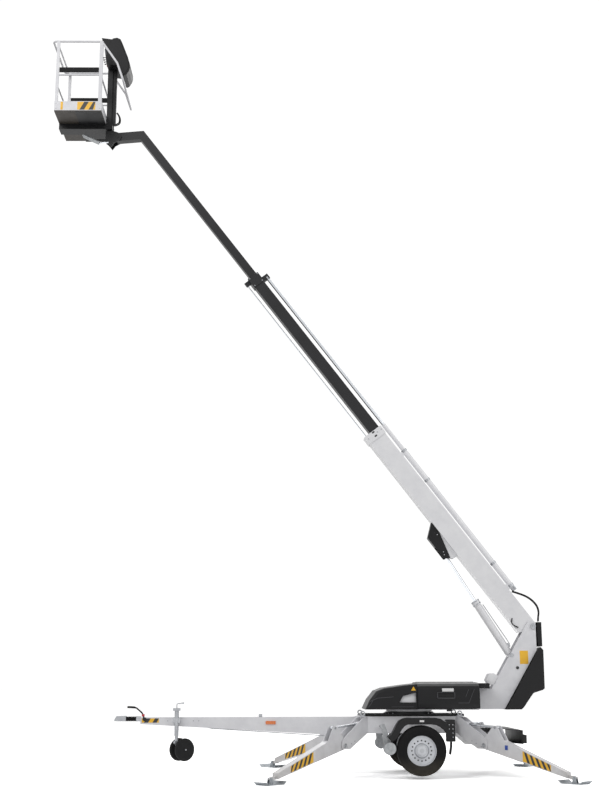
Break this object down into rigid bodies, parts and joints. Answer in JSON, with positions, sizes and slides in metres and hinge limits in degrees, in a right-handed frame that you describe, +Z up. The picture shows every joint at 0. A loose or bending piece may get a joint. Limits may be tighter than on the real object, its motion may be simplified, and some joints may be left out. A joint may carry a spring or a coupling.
{
  "type": "trailer-mounted boom lift",
  "caption": "Trailer-mounted telescopic boom lift standing on folding outriggers, with a raised boom, a basket with guard rails and a tow bar.",
  "frame": {"origin": "centre of the footprint box, on the ground under the machine", "axes": "-X towards the towing coupling and the basket, +Y to the machine's right side seen from the rear, +Z up"},
  "size_m": [7.4887, 3.7804, 11.2228],
  "materials": {
    "white_paint": "gloss white paint",
    "black_paint": "satin black paint",
    "tyre": "matte black rubber with a worn tread",
    "jockey_tyre": "matte black solid rubber",
    "rim": "silver paint",
    "chrome_rod": "polished hard chrome",
    "galvanised": "hot-dip galvanised",
    "zinc_plated": "zinc plated",
    "black_rubber": "matte black rubber",
    "black_moulding": "satin black moulded sheet",
    "plywood": "brown film-faced plywood"
  },
  "bodies": {
    "chassis": {"chassis_frame": "white_paint", "slewing_base": "black_paint", "lifting_eyes": "zinc_plated", "tow_bar": "white_paint", "coupling_head": "zinc_plated", "coupling_bellows": "black_rubber", "handbrake_lever": "black_paint", "jockey_clamp": "zinc_plated", "axle_beam": "black_paint", "fenders": "black_moulding", "drive_units": "zinc_plated", "valve_box": "black_paint", "light_bar": "black_paint"},
    "jockey_stem": {"jockey_tube": "zinc_plated"},
    "jockey_swivel": {"jockey_fork": "zinc_plated"},
    "jockey_roller": {"jockey_wheels": "jockey_tyre"},
    "wheel_left": {"rim_left": "rim", "tyre_left": "tyre"},
    "wheel_right": {"rim_right": "rim", "tyre_right": "tyre"},
    "turret": {"turret_frame": "white_paint", "nose_cover": "black_moulding", "rear_cover": "black_moulding", "mast_flap": "black_moulding", "power_pack": "black_paint"},
    "lid_left": {"cover_left": "black_moulding"},
    "lid_right": {"cover_right": "black_moulding"},
    "boom": {"boom_base": "white_paint", "telescope_barrel": "white_paint", "pin_cover": "black_moulding", "boom_hose": "black_rubber"},
    "boom_middle": {"boom_mid": "black_paint", "telescope_rods": "chrome_rod"},
    "boom_top": {"boom_tip": "black_paint"},
    "lift_cylinder": {"lift_barrel": "white_paint"},
    "lift_piston": {"lift_rod": "chrome_rod"},
    "level_head": {"basket_carrier": "black_paint"},
    "basket": {"basket_frame": "black_paint", "basket_floor": "plywood", "toe_boards": "white_paint", "basket_rails": "white_paint", "side_boards": "black_rubber", "console_post": "black_paint", "console": "black_moulding"},
    "outrigger_front_left": {"leg_front_left": "white_paint"},
    "foot_front_left": {"pad_front_left": "galvanised"},
    "leg_cylinder_front_left": {"leg_barrel_front_left": "white_paint"},
    "leg_piston_front_left": {"leg_rod_front_left": "chrome_rod"},
    "outrigger_front_right": {"leg_front_right": "white_paint"},
    "foot_front_right": {"pad_front_right": "galvanised"},
    "leg_cylinder_front_right": {"leg_barrel_front_right": "white_paint"},
    "leg_piston_front_right": {"leg_rod_front_right": "chrome_rod"},
    "outrigger_rear_left": {"leg_rear_left": "white_paint"},
    "foot_rear_left": {"pad_rear_left": "galvanised"},
    "leg_cylinder_rear_left": {"leg_barrel_rear_left": "white_paint"},
    "leg_piston_rear_left": {"leg_rod_rear_left": "chrome_rod"},
    "outrigger_rear_right": {"leg_rear_right": "white_paint"},
    "foot_rear_right": {"pad_rear_right": "galvanised"},
    "leg_cylinder_rear_right": {"leg_barrel_rear_right": "white_paint"},
    "leg_piston_rear_right": {"leg_rod_rear_right": "chrome_rod"}
  },
  "joints": [
    {"name": "turret_slew", "type": "hinge", "parent": "chassis", "child": "turret", "pos_m": [1.59681, 0, 0.875], "axis": [0, 0, 1], "continuous": true},
    {"name": "boom_lift", "type": "hinge", "parent": "turret", "child": "boom", "pos_m": [3.38281, 0, 2.036], "axis": [0, 1, 0], "range_deg": [-58, 20]},
    {"name": "middle_slide", "type": "slide", "parent": "boom", "child": "boom_middle", "axis": [-0.6046, 0, 0.7965], "range_m": [-2.6, 0]},
    {"name": "top_slide", "type": "slide", "parent": "boom_middle", "child": "boom_top", "axis": [-0.6046, 0, 0.7965], "range_m": [-2.6, 0]},
    {"name": "basket_level", "type": "hinge", "parent": "boom_top", "child": "level_head", "pos_m": [-2.75536, 0, 9.55782], "axis": [0, 1, 0], "range_deg": [-20, 58]},
    {"name": "basket_swing", "type": "hinge", "parent": "level_head", "child": "basket", "pos_m": [-2.88536, 0, 9.70782], "axis": [0, 0, 1], "range_deg": [-45, 45]},
    {"name": "lift_cylinder_swing", "type": "hinge", "parent": "turret", "child": "lift_cylinder", "pos_m": [3.05981, 0, 1.635], "axis": [0, 1, 0], "range_deg": [-59, 21]},
    {"name": "lift_piston_slide", "type": "slide", "parent": "lift_cylinder", "child": "lift_piston", "axis": [-0.531, 0, 0.8474], "range_m": [-0.491, 0.176]},
    {"name": "wheel_left_spin", "type": "hinge", "parent": "chassis", "child": "wheel_left", "pos_m": [1.67481, -0.8, 0.368], "axis": [0, 1, 0], "continuous": true},
    {"name": "wheel_right_spin", "type": "hinge", "parent": "chassis", "child": "wheel_right", "pos_m": [1.67481, 0.8, 0.368], "axis": [0, 1, 0], "continuous": true},
    {"name": "cover_left_lift", "type": "hinge", "parent": "turret", "child": "lid_left", "pos_m": [2.10781, -0.012, 1.262], "axis": [-1, 0, 0], "range_deg": [0, 55]},
    {"name": "cover_right_lift", "type": "hinge", "parent": "turret", "child": "lid_right", "pos_m": [2.10781, 0.012, 1.262], "axis": [1, 0, 0], "range_deg": [0, 55]},
    {"name": "jockey_height", "type": "slide", "parent": "chassis", "child": "jockey_stem", "axis": [0, 0, 1], "range_m": [-0.12, 0.06]},
    {"name": "jockey_turn", "type": "hinge", "parent": "jockey_stem", "child": "jockey_swivel", "pos_m": [-1.67019, -0.125, 0.4], "axis": [0, 0, 1], "continuous": true},
    {"name": "jockey_roll", "type": "hinge", "parent": "jockey_swivel", "child": "jockey_roller", "pos_m": [-1.59533, -0.06651, 0.352], "axis": [-0.6157, 0.788, 0], "continuous": true},
    {"name": "leg_front_left_fold", "type": "hinge", "parent": "chassis", "child": "outrigger_front_left", "pos_m": [0.60903, -0.66592, 0.43], "axis": [-0.7284, 0.6852, 0], "range_deg": [-8, 80]},
    {"name": "pad_front_left_tilt", "type": "hinge", "parent": "outrigger_front_left", "child": "foot_front_left", "pos_m": [-0.342, -1.67689, 0.07], "axis": [-0.7284, 0.6852, 0], "range_deg": [-12, 12]},
    {"name": "leg_cylinder_front_left_swing", "type": "hinge", "parent": "chassis", "child": "leg_cylinder_front_left", "pos_m": [1.15718, -0.08322, 0.73], "axis": [-0.7284, 0.6852, 0], "range_deg": [-0.5, 0.9]},
    {"name": "leg_piston_front_left_slide", "type": "slide", "parent": "leg_cylinder_front_left", "child": "leg_piston_front_left", "axis": [-0.6837, -0.7268, -0.0662], "range_m": [-0.395, 0.049]},
    {"name": "leg_front_right_fold", "type": "hinge", "parent": "chassis", "child": "outrigger_front_right", "pos_m": [0.60903, 0.66592, 0.43], "axis": [0.7284, 0.6852, 0], "range_deg": [-8, 80]},
    {"name": "pad_front_right_tilt", "type": "hinge", "parent": "outrigger_front_right", "child": "foot_front_right", "pos_m": [-0.342, 1.67689, 0.07], "axis": [0.7284, 0.6852, 0], "range_deg": [-12, 12]},
    {"name": "leg_cylinder_front_right_swing", "type": "hinge", "parent": "chassis", "child": "leg_cylinder_front_right", "pos_m": [1.15718, 0.08322, 0.73], "axis": [0.7284, 0.6852, 0], "range_deg": [-0.5, 0.9]},
    {"name": "leg_piston_front_right_slide", "type": "slide", "parent": "leg_cylinder_front_right", "child": "leg_piston_front_right", "axis": [-0.6837, 0.7268, -0.0662], "range_m": [-0.395, 0.049]},
    {"name": "leg_rear_left_fold", "type": "hinge", "parent": "chassis", "child": "outrigger_rear_left", "pos_m": [2.58459, -0.66592, 0.43], "axis": [-0.7284, -0.6852, 0], "range_deg": [-8, 80]},
    {"name": "pad_rear_left_tilt", "type": "hinge", "parent": "outrigger_rear_left", "child": "foot_rear_left", "pos_m": [3.53563, -1.67689, 0.07], "axis": [-0.7284, -0.6852, 0], "range_deg": [-12, 12]},
    {"name": "leg_cylinder_rear_left_swing", "type": "hinge", "parent": "chassis", "child": "leg_cylinder_rear_left", "pos_m": [2.03644, -0.08322, 0.73], "axis": [-0.7284, -0.6852, 0], "range_deg": [-0.5, 0.9]},
    {"name": "leg_piston_rear_left_slide", "type": "slide", "parent": "leg_cylinder_rear_left", "child": "leg_piston_rear_left", "axis": [0.6837, -0.7268, -0.0662], "range_m": [-0.395, 0.049]},
    {"name": "leg_rear_right_fold", "type": "hinge", "parent": "chassis", "child": "outrigger_rear_right", "pos_m": [2.58459, 0.66592, 0.43], "axis": [0.7284, -0.6852, 0], "range_deg": [-8, 80]},
    {"name": "pad_rear_right_tilt", "type": "hinge", "parent": "outrigger_rear_right", "child": "foot_rear_right", "pos_m": [3.53563, 1.67689, 0.07], "axis": [0.7284, -0.6852, 0], "range_deg": [-12, 12]},
    {"name": "leg_cylinder_rear_right_swing", "type": "hinge", "parent": "chassis", "child": "leg_cylinder_rear_right", "pos_m": [2.03644, 0.08322, 0.73], "axis": [0.7284, -0.6852, 0], "range_deg": [-0.5, 0.9]},
    {"name": "leg_piston_rear_right_slide", "type": "slide", "parent": "leg_cylinder_rear_right", "child": "leg_piston_rear_right", "axis": [0.6837, 0.7268, -0.0662], "range_m": [-0.395, 0.049]}
  ],
  "couplings": [
    {"joint": "top_slide", "follows": "middle_slide", "ratio": 1},
    {"joint": "basket_level", "follows": "boom_lift", "ratio": -1},
    {"joint": "lift_cylinder_swing", "follows": "boom_lift", "ratio": 1},
    {"joint": "lift_piston_slide", "follows": "boom_lift", "m_per_rad": 0.475},
    {"joint": "leg_cylinder_front_left_swing", "follows": "leg_front_left_fold", "ratio": 0.005},
    {"joint": "leg_piston_front_left_slide", "follows": "leg_front_left_fold", "m_per_rad": -0.276},
    {"joint": "leg_cylinder_front_right_swing", "follows": "leg_front_right_fold", "ratio": 0.005},
    {"joint": "leg_piston_front_right_slide", "follows": "leg_front_right_fold", "m_per_rad": -0.276},
    {"joint": "leg_cylinder_rear_left_swing", "follows": "leg_rear_left_fold", "ratio": 0.005},
    {"joint": "leg_piston_rear_left_slide", "follows": "leg_rear_left_fold", "m_per_rad": -0.276},
    {"joint": "leg_cylinder_rear_right_swing", "follows": "leg_rear_right_fold", "ratio": 0.005},
    {"joint": "leg_piston_rear_right_slide", "follows": "leg_rear_right_fold", "m_per_rad": -0.276}
  ]
}
